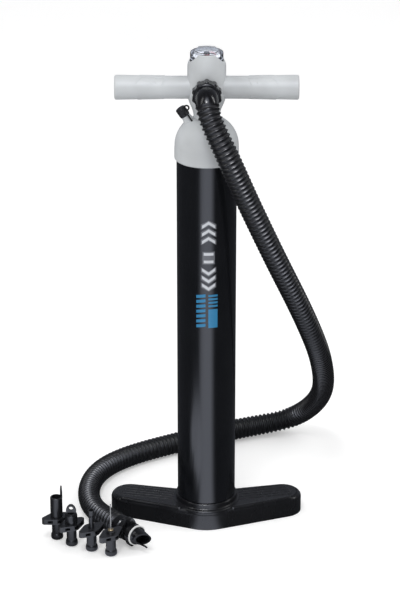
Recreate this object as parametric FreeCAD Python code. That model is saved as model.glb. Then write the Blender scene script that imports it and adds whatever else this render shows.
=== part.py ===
import FreeCAD, Part

import math
import os

from FreeCAD import Vector

# Double action hand pump: a foot stand, a barrel, a T handle on a hollow piston rod,
# a pressure gauge, a corrugated hose with a bayonet nozzle, and four loose valve adapters.
# Units are millimetres. +Z is up, -Y is the front, and the origin is on the barrel's axis
# at the floor. The handle is modelled pushed fully down.

X_AXIS = Vector(1, 0, 0)
Y_AXIS = Vector(0, 1, 0)
Z_AXIS = Vector(0, 0, 1)
FRONT = Vector(0, -1, 0)
FIT = 0.05                      # radial gap of a snug or a running fit
SEAT = 0.03                     # axial gap where two faces rest on each other

# Barrel
BARREL_R = 33.0
BARREL_WALL = 2.5
BARREL_BORE_R = BARREL_R - BARREL_WALL
BARREL_BOTTOM_Z = 8.0
BARREL_TOP_Z = 446.0

# Foot stand
NOSE_R = 40.5                   # round front of the stand, about the barrel's axis
WING_X, WING_Y = 89.0, 13.1     # centre of each wing's round end
WING_END_R = 21.5
REAR_SLOPE = 0.21               # rise of the rear edge towards each wing's end
WING_TOP_Z = 23.2
WING_EDGE_R = 6.0
STAND_WALL = 3.0
STAND_CAVITY_Z = 19.0
STAND_FLOOR_Z = 5.0             # underside of the web that carries the barrel
COLLAR_TOP_Z = 30.0
LEDGE_Z = 23.8
COLLAR_R = 35.4
STAND_SCREW_PCR = 24.0

# Barrel end plug and foot valve
PLUG_TOP_Z = 18.0
FOOT_VALVE_R = 12.0
FOOT_STEM_R = 2.0
VALVE_THICKNESS = 1.2
VALVE_LIFT = 1.5

# Piston
PISTON_R = BARREL_BORE_R - 0.3
PISTON_BOTTOM_Z = 25.0
PISTON_SPLIT_Z = 33.0
PISTON_TOP_Z = 38.0
PISTON_HUB_TOP_Z = 50.0
PISTON_HUB_R = 15.0
PISTON_CHAMBER_R = 24.0
PISTON_CORE_R = 27.0            # floor of the seal's groove
PISTON_SCREW_PCR = 12.5
LOWER_VALVE_R = 8.5
UPPER_VALVE_INNER_R = 15.6

# Piston rod
ROD_R = 10.0
ROD_BORE_R = 7.0
ROD_BOTTOM_Z = 40.0
ROD_TOP_Z = 508.0

# Barrel cap
CAP_SPHERE_Z = 453.5
CAP_SPHERE_R = 35.0
CAP_SKIRT_R = 35.3
CAP_RIM_Z = 438.5
CAP_SPIGOT_Z = 437.0
CAP_PLATE_Z = 449.5
CAP_FLAT_Z = 485.0
CAP_BOSS_R = 16.5
SEAL_POCKET_R = 13.0
NECK_TILT = math.radians(34.5)  # neck's axis, to the left of vertical, through the sphere's centre
NECK_RIM = 41.0                 # distance of the neck's rim from the sphere's centre
NECK_BORE_R = 3.2
VENT_X = -19.5
CAP_VALVE_OUTER_R = 27.5

# Vent plug
VENT_PLUG_R = 5.7
VENT_PLUG_HEIGHT = 10.3
TETHER_SIDE = 8.4               # step from the neck's axis to the hole that holds the tether
TETHER_SPIN = math.radians(62)  # round the neck, from its right towards the front
TETHER_R = 1.0
TETHER_HOLE_FLOOR = 32.0

# Handle
GRIP_Z = 519.3
GRIP_LENGTH = 99.5
GRIP_MID_R = 12.45
GRIP_END_R = 13.45
HUB_R = 20.9
HUB_SHOULDER_Z = 538.0
RIM_R = 20.1
VISOR_TOP_Z = 560.0
HANDLE_BOTTOM_Z = 485.3
MANIFOLD_R = 12.5
HANDLE_SCREW_X = (34.0, 82.0)

# Hose port, union nut and hose
PORT_R = 9.5
PORT_BORE_R = 6.5
PORT_TIP_Y = -30.0
NUT_REAR_Y = -21.6
NUT_FRONT_Y = -35.5
NUT_LOBE_R = 16.4
NUT_LOBES = 10
CUFF_R = 12.4
HOSE_R = 12.3
HOSE_BORE_R = 9.6
HOSE_FLOOR_Z = 13.0

# Gauge
GAUGE_R = 18.0
GAUGE_FLOOR_Z = 541.0
GAUGE_RIM_Z = 552.4
DIAL_Z = 554.5
DIAL_R = 14.5
LENS_R = 17.9
LENS_TOP_Z = 560.5

# Hose end and bayonet nozzle, along a level axis that points forward and to the right
NOZZLE_YAW = math.radians(40.0)
NOZZLE_AXIS = Vector(math.sin(NOZZLE_YAW), -math.cos(NOZZLE_YAW), 0)
NOZZLE_ORIGIN = Vector(-88.0, -73.2, 17.8)
LUG_LENGTH = 17.6               # half length of a two-lug flange
LUG_WIDTH = 9.6
LUG_R = 3.6
BEAK_ROLL = math.radians(20.0)  # side of the nozzle's beak, from its right towards its top
BEAK_SLANT = math.radians(40.0)

# Loose adapters: the floor position of each one, and the turn in degrees from +X to its flange
ADAPTER_PLACES = {
    "wide_tube": (-170.3, -57.6, 24.0),
    "bridge_tube": (-152.8, -72.9, 42.0),
    "slim_cup": (-129.6, -85.0, 44.0),
    "needle_holder": (-107.4, -96.2, 50.0),
}
FLANGE_BOTTOM_Z = 21.6
FLANGE_TOP_Z = 28.2
STUB_R = 5.7
STUB_BEAD_R = 6.9
STUB_BORE_R = 3.6
SOCKET_TOP_Z = 31.2             # top of the needle's socket


# ---------------------------------------------------------------- helpers

def cylinder(radius, z_low, z_high, x=0.0, y=0.0):
    return Part.makeCylinder(radius, z_high - z_low, Vector(x, y, z_low))


def ring(outer_r, inner_r, z_low, z_high):
    return cylinder(outer_r, z_low, z_high).cut(cylinder(inner_r, z_low - 1, z_high + 1))


def rod_between(radius, start, end):
    span = end - start
    return Part.makeCylinder(radius, span.Length, start, span)


def capsule(radius, start, end):
    body = rod_between(radius, start, end)
    return body.fuse([Part.makeSphere(radius, start), Part.makeSphere(radius, end)])


def box(x_low, x_high, y_low, y_high, z_low, z_high):
    corner = Vector(x_low, y_low, z_low)
    return Part.makeBox(x_high - x_low, y_high - y_low, z_high - z_low, corner)


def turned(start, *steps):
    """Solid of revolution about Z. Each step is (r, z), a straight run to that point,
    or ((r, z), (r, z)), an arc through the first point to the second."""
    def point(pair):
        return Vector(pair[0], 0, pair[1])
    edges = []
    here = point(start)
    for step in steps:
        if isinstance(step[0], tuple):
            there = point(step[1])
            edges.append(Part.Arc(here, point(step[0]), there).toShape())
        else:
            there = point(step)
            edges.append(Part.makeLine(here, there))
        here = there
    edges.append(Part.makeLine(here, point(start)))
    face = Part.Face(Part.Wire(edges))
    return face.revolve(Vector(0, 0, 0), Z_AXIS, 360)


def o_ring(ring_r, section_r, z):
    return Part.makeTorus(ring_r, section_r, Vector(0, 0, z))


def around(count, radius, start_deg=0.0):
    """Points evenly spaced on a circle about Z."""
    for index in range(count):
        angle = math.radians(start_deg + 360.0 * index / count)
        yield radius * math.cos(angle), radius * math.sin(angle)


def stood_on(shape, origin, axis):
    """Carry a shape built up from the XY plane so that its Z runs along axis from origin."""
    turn = FreeCAD.Rotation(Z_AXIS, axis)
    moved = shape.copy()
    moved.Placement = FreeCAD.Placement(origin, turn).multiply(shape.Placement)
    return moved


def pipe(path, radius):
    """Round rod swept along a path wire."""
    edge = path.Edges[0]
    start = edge.valueAt(edge.FirstParameter)
    tangent = edge.tangentAt(edge.FirstParameter)
    section = Part.Wire(Part.makeCircle(radius, start, tangent))
    return path.makePipeShell([section], True, False)


def guided_path(guides):
    """Smooth curve from the first guide to the last, steered by the ones between. It leaves the
    first guide towards the second and reaches the last from the one before it."""
    curve = Part.BSplineCurve()
    curve.buildFromPoles(guides, False, 3)
    return Part.Wire(curve.toShape())


def mirrored_x(shape):
    return shape.mirror(Vector(0, 0, 0), X_AXIS)


# ---------------------------------------------------------------- foot stand

def stand_outline(inset):
    """Plan of the stand: a round nose, two swept-back wings with round ends."""
    nose_r = NOSE_R - inset
    end_r = WING_END_R - inset
    reach = math.hypot(WING_X, WING_Y)
    front_angle = math.atan2(WING_Y, WING_X) + math.asin((nose_r - end_r) / reach)
    front_normal = Vector(math.sin(front_angle), -math.cos(front_angle), 0)
    rear_angle = math.atan(REAR_SLOPE)
    rear_normal = Vector(-math.sin(rear_angle), math.cos(rear_angle), 0)
    centre = Vector(WING_X, WING_Y, 0)

    rear_tip = centre + rear_normal * end_r
    side_tip = centre + Vector(end_r, 0, 0)
    front_tip = centre + front_normal * end_r
    nose_side = front_normal * nose_r
    rear_middle = Vector(0, rear_normal.dot(rear_tip) / math.cos(rear_angle), 0)

    def left(point):
        return Vector(-point.x, point.y, 0)

    edges = [
        Part.makeLine(rear_middle, rear_tip),
        Part.Arc(rear_tip, side_tip, front_tip).toShape(),
        Part.makeLine(front_tip, nose_side),
        Part.Arc(nose_side, Vector(0, -nose_r, 0), left(nose_side)).toShape(),
        Part.makeLine(left(nose_side), left(front_tip)),
        Part.Arc(left(front_tip), left(side_tip), left(rear_tip)).toShape(),
        Part.makeLine(left(rear_tip), rear_middle),
    ]
    return Part.Face(Part.Wire(edges))


def wing_ribs():
    """Five raised ribs along each wing, and the rolled bead along its front edge."""
    ribs = []
    count = 5
    for index in range(count):
        share = index / (count - 1)
        y_inner = -8.0 + 23.0 * share
        y_outer = 6.0 + 21.5 * share
        x_outer = 99.0 - 9.0 * share
        ribs.append(capsule(1.8, Vector(36.0, y_inner, WING_TOP_Z - 1.1),
                            Vector(x_outer, y_outer, WING_TOP_Z - 1.1)))
    ribs.append(capsule(3.2, Vector(31.0, -27.1, WING_TOP_Z - 2.2),
                        Vector(96.0, -2.7, WING_TOP_Z - 2.2)))
    return ribs + [mirrored_x(rib) for rib in ribs]


def make_base_plate():
    body = stand_outline(0).extrude(Vector(0, 0, WING_TOP_Z))
    top_edges = [e for e in body.Edges if abs(e.BoundBox.ZMin - WING_TOP_Z) < 0.01]
    body = body.makeFillet(WING_EDGE_R, top_edges)
    body = body.fuse(wing_ribs())

    hub = turned((0, 0), (NOSE_R, 0), (NOSE_R - 0.5, 20.4),
                 ((NOSE_R - 1.1, 22.7), (NOSE_R - 2.8, LEDGE_Z)), (COLLAR_R + 0.8, LEDGE_Z + 0.1),
                 (COLLAR_R, LEDGE_Z + 0.8), (COLLAR_R - 0.3, COLLAR_TOP_Z - 0.5),
                 (COLLAR_R - 0.8, COLLAR_TOP_Z), (0, COLLAR_TOP_Z))
    body = body.fuse(hub)

    cavity = stand_outline(STAND_WALL).extrude(Vector(0, 0, STAND_CAVITY_Z))
    cavity = cavity.cut(cylinder(NOSE_R - 0.5, -1, STAND_CAVITY_Z + 1))
    for x in (56.0, 72.0, 88.0):
        for side in (-1, 1):
            cavity = cavity.cut(box(side * x - 1.0, side * x + 1.0, -60, 60, 0, STAND_CAVITY_Z + 1))
            cavity = cavity.fuse(box(side * x - 1.5, side * x + 1.5, 2, 12, -1, 6))
    body = body.cut(cavity)

    well = cylinder(BARREL_R + 2.0, -1, STAND_FLOOR_Z)
    posts = [cylinder(9.0, -2, STAND_FLOOR_Z)]
    posts += [cylinder(5.5, -2, STAND_FLOOR_Z, x, y) for x, y in around(4, STAND_SCREW_PCR, 45)]
    body = body.cut(well.cut(Part.makeCompound(posts)))

    cuts = [cylinder(BARREL_R + FIT, BARREL_BOTTOM_Z, COLLAR_TOP_Z + 1)]
    for x, y in around(4, STAND_SCREW_PCR, 45):
        cuts.append(cylinder(1.9, -1, BARREL_BOTTOM_Z + 1, x, y))
        cuts.append(cylinder(3.6, -1, 3.0, x, y))
    for x, y in around(6, 15.0):
        cuts.append(cylinder(2.2, STAND_FLOOR_Z - 1, BARREL_BOTTOM_Z + 1, x, y))
    for side in (-1, 1):
        cuts.append(rod_between(2.2, Vector(side * 30, 7, 2.4), Vector(side * 45, 7, 2.4)))
        cuts.append(box(side * 66 - 3, side * 66 + 3, 20, 50, -1, 2.0))
    return body.cut(Part.makeCompound(cuts))


def screw(head_r, head_h, shank_r, length):
    """Pan-head screw that points along -Z, with its head's seat at Z = 0 and a cross recess."""
    head = turned((0, 0), (head_r, 0), (head_r, 0.4 * head_h),
                  ((0.8 * head_r, 0.85 * head_h), (0.4 * head_r, head_h)), (0, head_h))
    shank = cylinder(shank_r, -length + shank_r, 0.1)
    tip = Part.makeCone(0.15, shank_r, shank_r, Vector(0, 0, -length))
    arm = 0.55 * head_r
    cross = box(-arm, arm, -0.35, 0.35, 0.45 * head_h, head_h + 1)
    cross = cross.fuse(box(-0.35, 0.35, -arm, arm, 0.45 * head_h, head_h + 1))
    return head.fuse([shank, tip]).cut(cross)


def make_base_screws():
    screws = []
    for x, y in around(4, STAND_SCREW_PCR, 45):
        one = screw(3.2, 2.2, 1.5, 11.0)
        screws.append(stood_on(one, Vector(x, y, 3.0 - SEAT), Vector(0, 0, -1)))
    return Part.makeCompound(screws)


# ---------------------------------------------------------------- barrel and foot valve

def make_barrel():
    return ring(BARREL_R, BARREL_BORE_R, BARREL_BOTTOM_Z + SEAT, BARREL_TOP_Z)


def make_barrel_end_plug():
    radius = BARREL_BORE_R - FIT
    low = BARREL_BOTTOM_Z + SEAT
    body = turned((0, low), (radius, low), (radius, 11.2), (27.5, 11.2), (27.5, 14.6), (radius, 14.6),
                  (radius, PLUG_TOP_Z), (0, PLUG_TOP_Z))
    body = body.fuse(cylinder(FOOT_STEM_R, PLUG_TOP_Z - 1, 23.2))
    cuts = [ring(18.0, 5.0, low - 1, 14.0)]
    for x, y in around(8, 7.5):
        cuts.append(cylinder(1.8, 13, PLUG_TOP_Z + 1, x, y))
    for x, y in around(4, STAND_SCREW_PCR, 45):
        cuts.append(cylinder(1.5 + FIT, low - 1, 15.5, x, y))
    return body.cut(Part.makeCompound(cuts))


def make_foot_valve_disc():
    low = PLUG_TOP_Z + SEAT
    return turned((FOOT_STEM_R + 0.08, low), (FOOT_VALVE_R, low), (FOOT_VALVE_R, low + 0.7),
                  (FOOT_VALVE_R - 1.0, low + VALVE_THICKNESS), (FOOT_STEM_R + 0.08, low + VALVE_THICKNESS))


def make_foot_valve_retainer():
    low = PLUG_TOP_Z + SEAT + VALVE_THICKNESS + VALVE_LIFT + SEAT
    return ring(5.0, FOOT_STEM_R + 0.01, low, low + 1.4)


# ---------------------------------------------------------------- piston and rod

def make_piston_lower():
    body = turned((0, PISTON_BOTTOM_Z), (PISTON_R - 1.0, PISTON_BOTTOM_Z),
                  (PISTON_R, PISTON_BOTTOM_Z + 1.0), (PISTON_R, 31.0), (PISTON_CORE_R, 31.0),
                  (PISTON_CORE_R, PISTON_SPLIT_Z - SEAT),
                  (0, PISTON_SPLIT_Z - SEAT))
    chamber = cylinder(PISTON_CHAMBER_R, 28.0, PISTON_SPLIT_Z + 1)
    posts = [cylinder(2.8, 27, PISTON_SPLIT_Z + 2, x, y) for x, y in around(3, PISTON_SCREW_PCR, 90)]
    posts.append(cylinder(1.5, 27, PISTON_SPLIT_Z + 2))
    body = body.cut(chamber.cut(Part.makeCompound(posts)))
    cuts = []
    for x, y in around(3, PISTON_SCREW_PCR, 90):
        cuts.append(cylinder(1.3, PISTON_BOTTOM_Z - 1, PISTON_SPLIT_Z + 1, x, y))
        cuts.append(cylinder(2.5, PISTON_BOTTOM_Z - 1, PISTON_BOTTOM_Z + 2.0, x, y))
    for x, y in around(6, 4.8):
        cuts.append(cylinder(1.5, PISTON_BOTTOM_Z - 1, 29.0, x, y))
    return body.cut(Part.makeCompound(cuts))


def make_piston_upper():
    body = turned((0, PISTON_SPLIT_Z), (PISTON_CORE_R, PISTON_SPLIT_Z), (PISTON_CORE_R, 35.0),
                  (PISTON_R, 35.0),
                  (PISTON_R, PISTON_TOP_Z - 1.0), (PISTON_R - 1.0, PISTON_TOP_Z),
                  (PISTON_HUB_R, PISTON_TOP_Z),
                  (PISTON_HUB_R - 1.0, PISTON_HUB_TOP_Z), (0, PISTON_HUB_TOP_Z))
    chamber = cylinder(PISTON_CHAMBER_R, PISTON_SPLIT_Z - 1, 35.0)
    posts = [cylinder(2.8, PISTON_SPLIT_Z, 36.0, x, y) for x, y in around(3, PISTON_SCREW_PCR, 90)]
    body = body.cut(chamber.cut(Part.makeCompound(posts)))
    cuts = [cylinder(ROD_R + FIT, ROD_BOTTOM_Z, PISTON_HUB_TOP_Z + 1)]
    cuts.append(cylinder(ROD_BORE_R, 34, ROD_BOTTOM_Z + 1))
    for x, y in around(3, PISTON_SCREW_PCR, 90):
        cuts.append(cylinder(1.2, PISTON_SPLIT_Z - 1, 41.0, x, y))
    for x, y in around(8, 19.0, 22.5):
        cuts.append(cylinder(1.6, 34, PISTON_TOP_Z + 1, x, y))
    return body.cut(Part.makeCompound(cuts))


def make_piston_screws():
    screws = []
    for x, y in around(3, PISTON_SCREW_PCR, 90):
        one = screw(2.3, 1.7, 1.1, 13.0)
        screws.append(stood_on(one, Vector(x, y, PISTON_BOTTOM_Z + 2.0 - SEAT), Vector(0, 0, -1)))
    return Part.makeCompound(screws)


def make_piston_seal():
    inner = PISTON_CORE_R + FIT
    outer = BARREL_BORE_R - FIT
    low, high = 31.0 + FIT, 35.0 - FIT
    middle = (low + high) / 2
    return turned((inner, low), (outer - 0.8, low), (outer, low + 0.7), (outer, middle - 0.6),
                  (outer - 0.9, middle), (outer, middle + 0.6), (outer, high - 0.7), (outer - 0.8, high),
                  (inner, high))


def make_piston_lower_valve():
    low = 28.0 + SEAT
    return ring(LOWER_VALVE_R, 1.5 + 0.08, low, low + VALVE_THICKNESS)


def make_piston_upper_valve():
    high = 35.0 - SEAT
    return ring(PISTON_CHAMBER_R - 0.08, UPPER_VALVE_INNER_R, high - VALVE_THICKNESS, high)


def make_piston_rod():
    tube = ring(ROD_R, ROD_BORE_R, ROD_BOTTOM_Z + SEAT, ROD_TOP_Z - SEAT)
    pin_hole = rod_between(1.55, Vector(-20, 0, 504), Vector(20, 0, 504))
    return tube.cut(pin_hole)


# ---------------------------------------------------------------- barrel cap

NECK_AXIS = Vector(-math.sin(NECK_TILT), 0, math.cos(NECK_TILT))
NECK_RIGHT = Vector(math.cos(NECK_TILT), 0, math.sin(NECK_TILT))
TETHER_STEP = NECK_RIGHT * math.cos(TETHER_SPIN) - Y_AXIS * math.sin(TETHER_SPIN)


def along_neck(distance, side=0.0):
    """Point on the neck's axis, at a distance from the sphere's centre and a step towards the tether."""
    return Vector(0, 0, CAP_SPHERE_Z) + NECK_AXIS * distance + TETHER_STEP * side


def on_sphere(radius, r):
    return CAP_SPHERE_Z + math.sqrt(radius ** 2 - r ** 2)


def make_barrel_cap():
    flat_r = 14.6
    shell_r = CAP_SPHERE_R - 3.0
    outer = turned((0, CAP_SPIGOT_Z), (BARREL_BORE_R - FIT, CAP_SPIGOT_Z),
                   (BARREL_BORE_R - FIT, BARREL_TOP_Z + SEAT),
                   (BARREL_R + FIT, BARREL_TOP_Z + SEAT), (BARREL_R + FIT, CAP_RIM_Z), (33.9, CAP_RIM_Z),
                   ((34.9, 439.3), (CAP_SKIRT_R, 441.5)), (CAP_SKIRT_R, 447.0),
                   ((35.25, 450.0), (CAP_SPHERE_R, CAP_SPHERE_Z)),
                   ((26.0, on_sphere(CAP_SPHERE_R, 26.0)), (flat_r, CAP_FLAT_Z)), (0, CAP_FLAT_Z))
    plenum = turned((CAP_BOSS_R, CAP_PLATE_Z), (31.6, CAP_PLATE_Z), (shell_r, CAP_SPHERE_Z),
                    ((25.0, on_sphere(shell_r, 25.0)), (CAP_BOSS_R, on_sphere(shell_r, CAP_BOSS_R))))
    vent_wall = cylinder(5.2, CAP_PLATE_Z - 2, 482.0, VENT_X)
    plenum = plenum.cut(vent_wall)

    neck = turned((0, 30), (8.4, 30), ((6.3, 34.2), (5.3, 38.2)), (5.0, NECK_RIM), (0, NECK_RIM))
    neck = stood_on(neck, Vector(0, 0, CAP_SPHERE_Z), NECK_AXIS)
    neck_trim = cylinder(CAP_BOSS_R, 440, CAP_FLAT_Z)
    body = outer.cut(plenum).fuse(neck.cut(neck_trim))

    cuts = [
        cylinder(ROD_R + 0.3, CAP_SPIGOT_Z - 1, CAP_FLAT_Z + 1),
        cylinder(SEAL_POCKET_R, CAP_SPIGOT_Z - 1, 474.0),
        ring(BARREL_BORE_R, 28.1, 441.8, 444.6),
        rod_between(TETHER_R + 0.08, along_neck(TETHER_HOLE_FLOOR, TETHER_SIDE),
                    along_neck(37.0, TETHER_SIDE)),
        ring(CAP_VALVE_OUTER_R + 0.08, SEAL_POCKET_R + 3.5, CAP_SPIGOT_Z - 1, 441.0),
        rod_between(NECK_BORE_R, along_neck(27.0), along_neck(NECK_RIM + 1)),
        cylinder(NECK_BORE_R - 0.2, 440.0, along_neck(34.0).z, VENT_X),
    ]
    for x, y in around(10, 24.9, 18):
        cuts.append(cylinder(1.2, 440, CAP_PLATE_Z + 1, x, y))
    for angle in (60, 75, 90, 105, 120):
        spin = math.radians(angle)
        outward = Vector(math.cos(spin) * 0.8, math.sin(spin) * 0.8, 0.6)
        centre = Vector(0, 0, CAP_SPHERE_Z)
        cuts.append(rod_between(1.4, centre + outward * 30, centre + outward * 38))
    return body.cut(Part.makeCompound(cuts))


def make_rod_bush():
    return ring(SEAL_POCKET_R - 0.02, ROD_R + 0.06, 448.5, 465.5)


def make_rod_seal():
    """U-cup: a ring with a groove that opens towards the barrel."""
    outer, inner = SEAL_POCKET_R - 0.03, ROD_R + 0.03
    return turned((inner, 465.6), (inner + 0.7, 465.6), (11.2, 470.0), (11.8, 470.0), (outer - 0.7, 465.6),
                  (outer, 465.6), (outer, 473.9), (inner, 473.9))


def make_seal_retainer():
    return turned((ROD_R + 0.4, 445.0), (12.2, 445.0), (SEAL_POCKET_R - 0.02, 445.8),
                  (SEAL_POCKET_R - 0.02, 448.4), (ROD_R + 0.4, 448.4))


def make_cap_valve_ring():
    high = 441.0 - SEAT
    return ring(CAP_VALVE_OUTER_R, 23.2, high - VALVE_THICKNESS, high)


def make_cap_valve_clip():
    high = 441.0 - 2 * SEAT - VALVE_THICKNESS - VALVE_LIFT
    return ring(CAP_VALVE_OUTER_R + 0.06, 25.6, high - 1.1, high)


def make_vent_plug():
    """Finger plug with a fluted head, a pull loop on its right and a sealing stem."""
    base = NECK_RIM + SEAT
    head = turned((0, 0), (VENT_PLUG_R - 0.4, 0), (VENT_PLUG_R, 0.5), (VENT_PLUG_R, VENT_PLUG_HEIGHT - 1.2),
                  ((VENT_PLUG_R - 0.4, VENT_PLUG_HEIGHT - 0.3), (VENT_PLUG_R - 1.2, VENT_PLUG_HEIGHT)),
                  (0, VENT_PLUG_HEIGHT))
    flutes = [cylinder(0.8, 2.6, VENT_PLUG_HEIGHT + 1, x, y) for x, y in around(12, VENT_PLUG_R + 0.3)]
    head = head.cut(Part.makeCompound(flutes))
    stem = turned((0, 0.5), (0, -6.0), (2.4, -6.0), (NECK_BORE_R - 0.06, -5.2), (NECK_BORE_R - 0.06, -3.9),
                  (2.5, -3.9), (2.5, -2.3), (NECK_BORE_R - 0.06, -2.3), (NECK_BORE_R - 0.06, 0.5))
    loop = Part.makeTorus(2.6, 0.9, Vector(VENT_PLUG_R + 0.3, 0, 6.4), Y_AXIS)
    return stood_on(head.fuse([stem, loop]), along_neck(base), NECK_AXIS)


def make_vent_plug_o_ring():
    """O-ring in the stem's groove."""
    seal = o_ring(2.5 + 0.32, 0.3, -3.1)
    return stood_on(seal, along_neck(NECK_RIM + SEAT), NECK_AXIS)


def make_plug_tether():
    """Short strap from the plug's head down into a hole beside the neck."""
    points = [along_neck(NECK_RIM + 1.4, VENT_PLUG_R + TETHER_R + 0.06),
              along_neck(NECK_RIM - 0.9, TETHER_SIDE),
              along_neck(TETHER_HOLE_FLOOR + TETHER_R + 0.1, TETHER_SIDE)]
    strap = [capsule(TETHER_R, start, end) for start, end in zip(points, points[1:])]
    return strap[0].fuse(strap[1:])


# ---------------------------------------------------------------- T handle

def handle_outer():
    hub = turned((0, HANDLE_BOTTOM_Z), (14.0, HANDLE_BOTTOM_Z), ((14.7, 491.0), (16.6, 497.5)),
                 ((19.0, 503.0), (20.5, 508.0)), (HUB_R, 513.0), (HUB_R, HUB_SHOULDER_Z),
                 ((20.7, 549.0), (RIM_R, VISOR_TOP_Z - 0.5)),
                 ((RIM_R - 0.2, VISOR_TOP_Z - 0.1), (RIM_R - 0.6, VISOR_TOP_Z)), (0, VISOR_TOP_Z))
    side_cut = []
    for side in (-1, 1):
        corners = [(9.0, VISOR_TOP_Z + 1), (9.4, VISOR_TOP_Z - 0.6), (18.6, 548.2), (20.0, 546.6),
                   (20.7, 544.6), (21.0, 542.0), (25, 542.0), (25, VISOR_TOP_Z + 1)]
        wire = Part.makePolygon([Vector(side * x, -30, z) for x, z in corners + corners[:1]])
        side_cut.append(Part.Face(wire).extrude(Vector(0, 60, 0)))
    hub = hub.cut(Part.makeCompound(side_cut))

    end = GRIP_LENGTH
    grip = turned((0, 5), (GRIP_MID_R, 5), (GRIP_MID_R, 45), (GRIP_END_R, end - 2.4),
                  ((GRIP_END_R - 0.6, end - 0.6), (GRIP_END_R - 2.2, end)), (0, end))
    right = stood_on(grip, Vector(0, 0, GRIP_Z), X_AXIS)
    left = stood_on(grip, Vector(0, 0, GRIP_Z), Vector(-1, 0, 0))
    return hub.fuse([right, left])


def grip_marks():
    """Raised dots in two rows on the front and the back of each grip."""
    dots = []
    for x in (54.5, 60.0, 65.5):
        for tilt in (40.0, 64.0):
            for face in (-1, 1):
                lean = math.radians(tilt)
                y = face * GRIP_MID_R * math.cos(lean)
                z = GRIP_Z + GRIP_MID_R * math.sin(lean)
                dots.append(Part.makeSphere(0.75, Vector(x, y * 0.985, z)))
    return dots + [mirrored_x(dot) for dot in dots]


def handle_cavity():
    hollow = [
        cylinder(MANIFOLD_R + FIT, 492.9, 536.1),
        cylinder(15.0 + FIT, 536.0, GAUGE_FLOOR_Z + 1),
        cylinder(GAUGE_R + FIT, GAUGE_FLOOR_Z, VISOR_TOP_Z + 2),
        cylinder(ROD_R + 0.3, HANDLE_BOTTOM_Z - 1, 493.5),
        rod_between(PORT_R + FIT, Vector(0, 0, GRIP_Z), Vector(0, -30, GRIP_Z)),
    ]
    for side in (-1, 1):
        tunnel = rod_between(9.8, Vector(side * 23, 0, GRIP_Z), Vector(side * 95, 0, GRIP_Z))
        for x in HANDLE_SCREW_X:
            post = rod_between(3.6, Vector(side * x, -12, GRIP_Z), Vector(side * x, 12, GRIP_Z))
            tunnel = tunnel.cut(post)
        hollow.append(tunnel)
    return hollow


def handle_screw_holes():
    holes = []
    for side in (-1, 1):
        for x in HANDLE_SCREW_X:
            centre = Vector(side * x, 0, GRIP_Z)
            holes.append(rod_between(1.4, centre + FRONT * 7.5, centre - FRONT * 14))
            holes.append(rod_between(3.0, centre - FRONT * 9.0, centre - FRONT * 14))
    return holes


def make_handle_shells():
    body = handle_outer()
    body = body.fuse(grip_marks())
    body = body.cut(Part.makeCompound(handle_screw_holes()))
    for hollow in handle_cavity():
        body = body.cut(hollow)
    front_half = box(-120, 120, -60, 0, 470, 580)
    rear_half = box(-120, 120, 0, 60, 470, 580)
    return body.common(front_half), body.common(rear_half)


def make_handle_screws():
    screws = []
    for side in (-1, 1):
        for x in HANDLE_SCREW_X:
            one = screw(2.8, 2.0, 1.35, 15.5)
            screws.append(stood_on(one, Vector(side * x, 9.0 + SEAT, GRIP_Z), Y_AXIS))
    return Part.makeCompound(screws)


def make_handle_manifold():
    """Joins the rod to the hose port at the front and to the gauge above."""
    body = turned((0, 493.0), (MANIFOLD_R, 493.0), (MANIFOLD_R, 536.2), (15.0, 536.2), (15.0, 540.9),
                  (0, 540.9))
    port = rod_between(PORT_R, Vector(0, 0, GRIP_Z), Vector(0, PORT_TIP_Y, GRIP_Z))
    body = body.fuse(port)
    cuts = [
        cylinder(ROD_R + FIT, 492, ROD_TOP_Z),
        cylinder(ROD_BORE_R, ROD_TOP_Z - 1, 529.0),
        cylinder(2.0, 528.0, 542.0),
        ring(11.9, ROD_R, 496.5, 499.1),
        rod_between(PORT_BORE_R, Vector(0, 0, GRIP_Z), Vector(0, PORT_TIP_Y - 1, GRIP_Z)),
        rod_between(1.55, Vector(-20, 0, 504), Vector(20, 0, 504)),
    ]
    return body.cut(Part.makeCompound(cuts))


def make_rod_pin():
    half = MANIFOLD_R - 0.3
    return rod_between(1.5, Vector(-half, 0, 504), Vector(half, 0, 504))


# ---------------------------------------------------------------- gauge

def make_gauge_case():
    body = turned((0, GAUGE_FLOOR_Z), (GAUGE_R, GAUGE_FLOOR_Z), (GAUGE_R, GAUGE_RIM_Z),
                  (DIAL_R + 0.9, GAUGE_RIM_Z), (DIAL_R + 0.4, DIAL_Z - SEAT), (0, DIAL_Z - SEAT))
    well = cylinder(13.0, 543.0, DIAL_Z - 1.5)
    stem = cylinder(2.6, 542.0, DIAL_Z)
    cuts = [well.cut(stem), cylinder(1.2, GAUGE_FLOOR_Z - 1, 545.0), cylinder(0.9, 548.0, DIAL_Z + 1)]
    return body.cut(Part.makeCompound(cuts))


def make_gauge_dial():
    return ring(DIAL_R, 1.2, DIAL_Z, DIAL_Z + 0.5)


def make_gauge_lens():
    low = GAUGE_RIM_Z + SEAT
    outer = turned((0, low), (LENS_R, low), (LENS_R, LENS_TOP_Z - 2.6),
                   ((17.4, 559.1), (16.2, LENS_TOP_Z - 0.6)), (12.6, LENS_TOP_Z - 0.5), (11.8, LENS_TOP_Z),
                   (0, LENS_TOP_Z))
    inner = turned((0, low - 1), (LENS_R - 1.4, low - 1), (LENS_R - 1.4, 557.4),
                   ((16.0, 558.5), (14.6, 558.8)), (0, 558.8))
    return outer.cut(inner)


def make_bourdon_tube():
    """C-shaped sensing tube in the well of the case."""
    torus = Part.makeTorus(9.5, 1.5, Vector(0, 0, 547.5))
    return torus.cut(box(0, 14, -14, 0, 540, 553))


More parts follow.
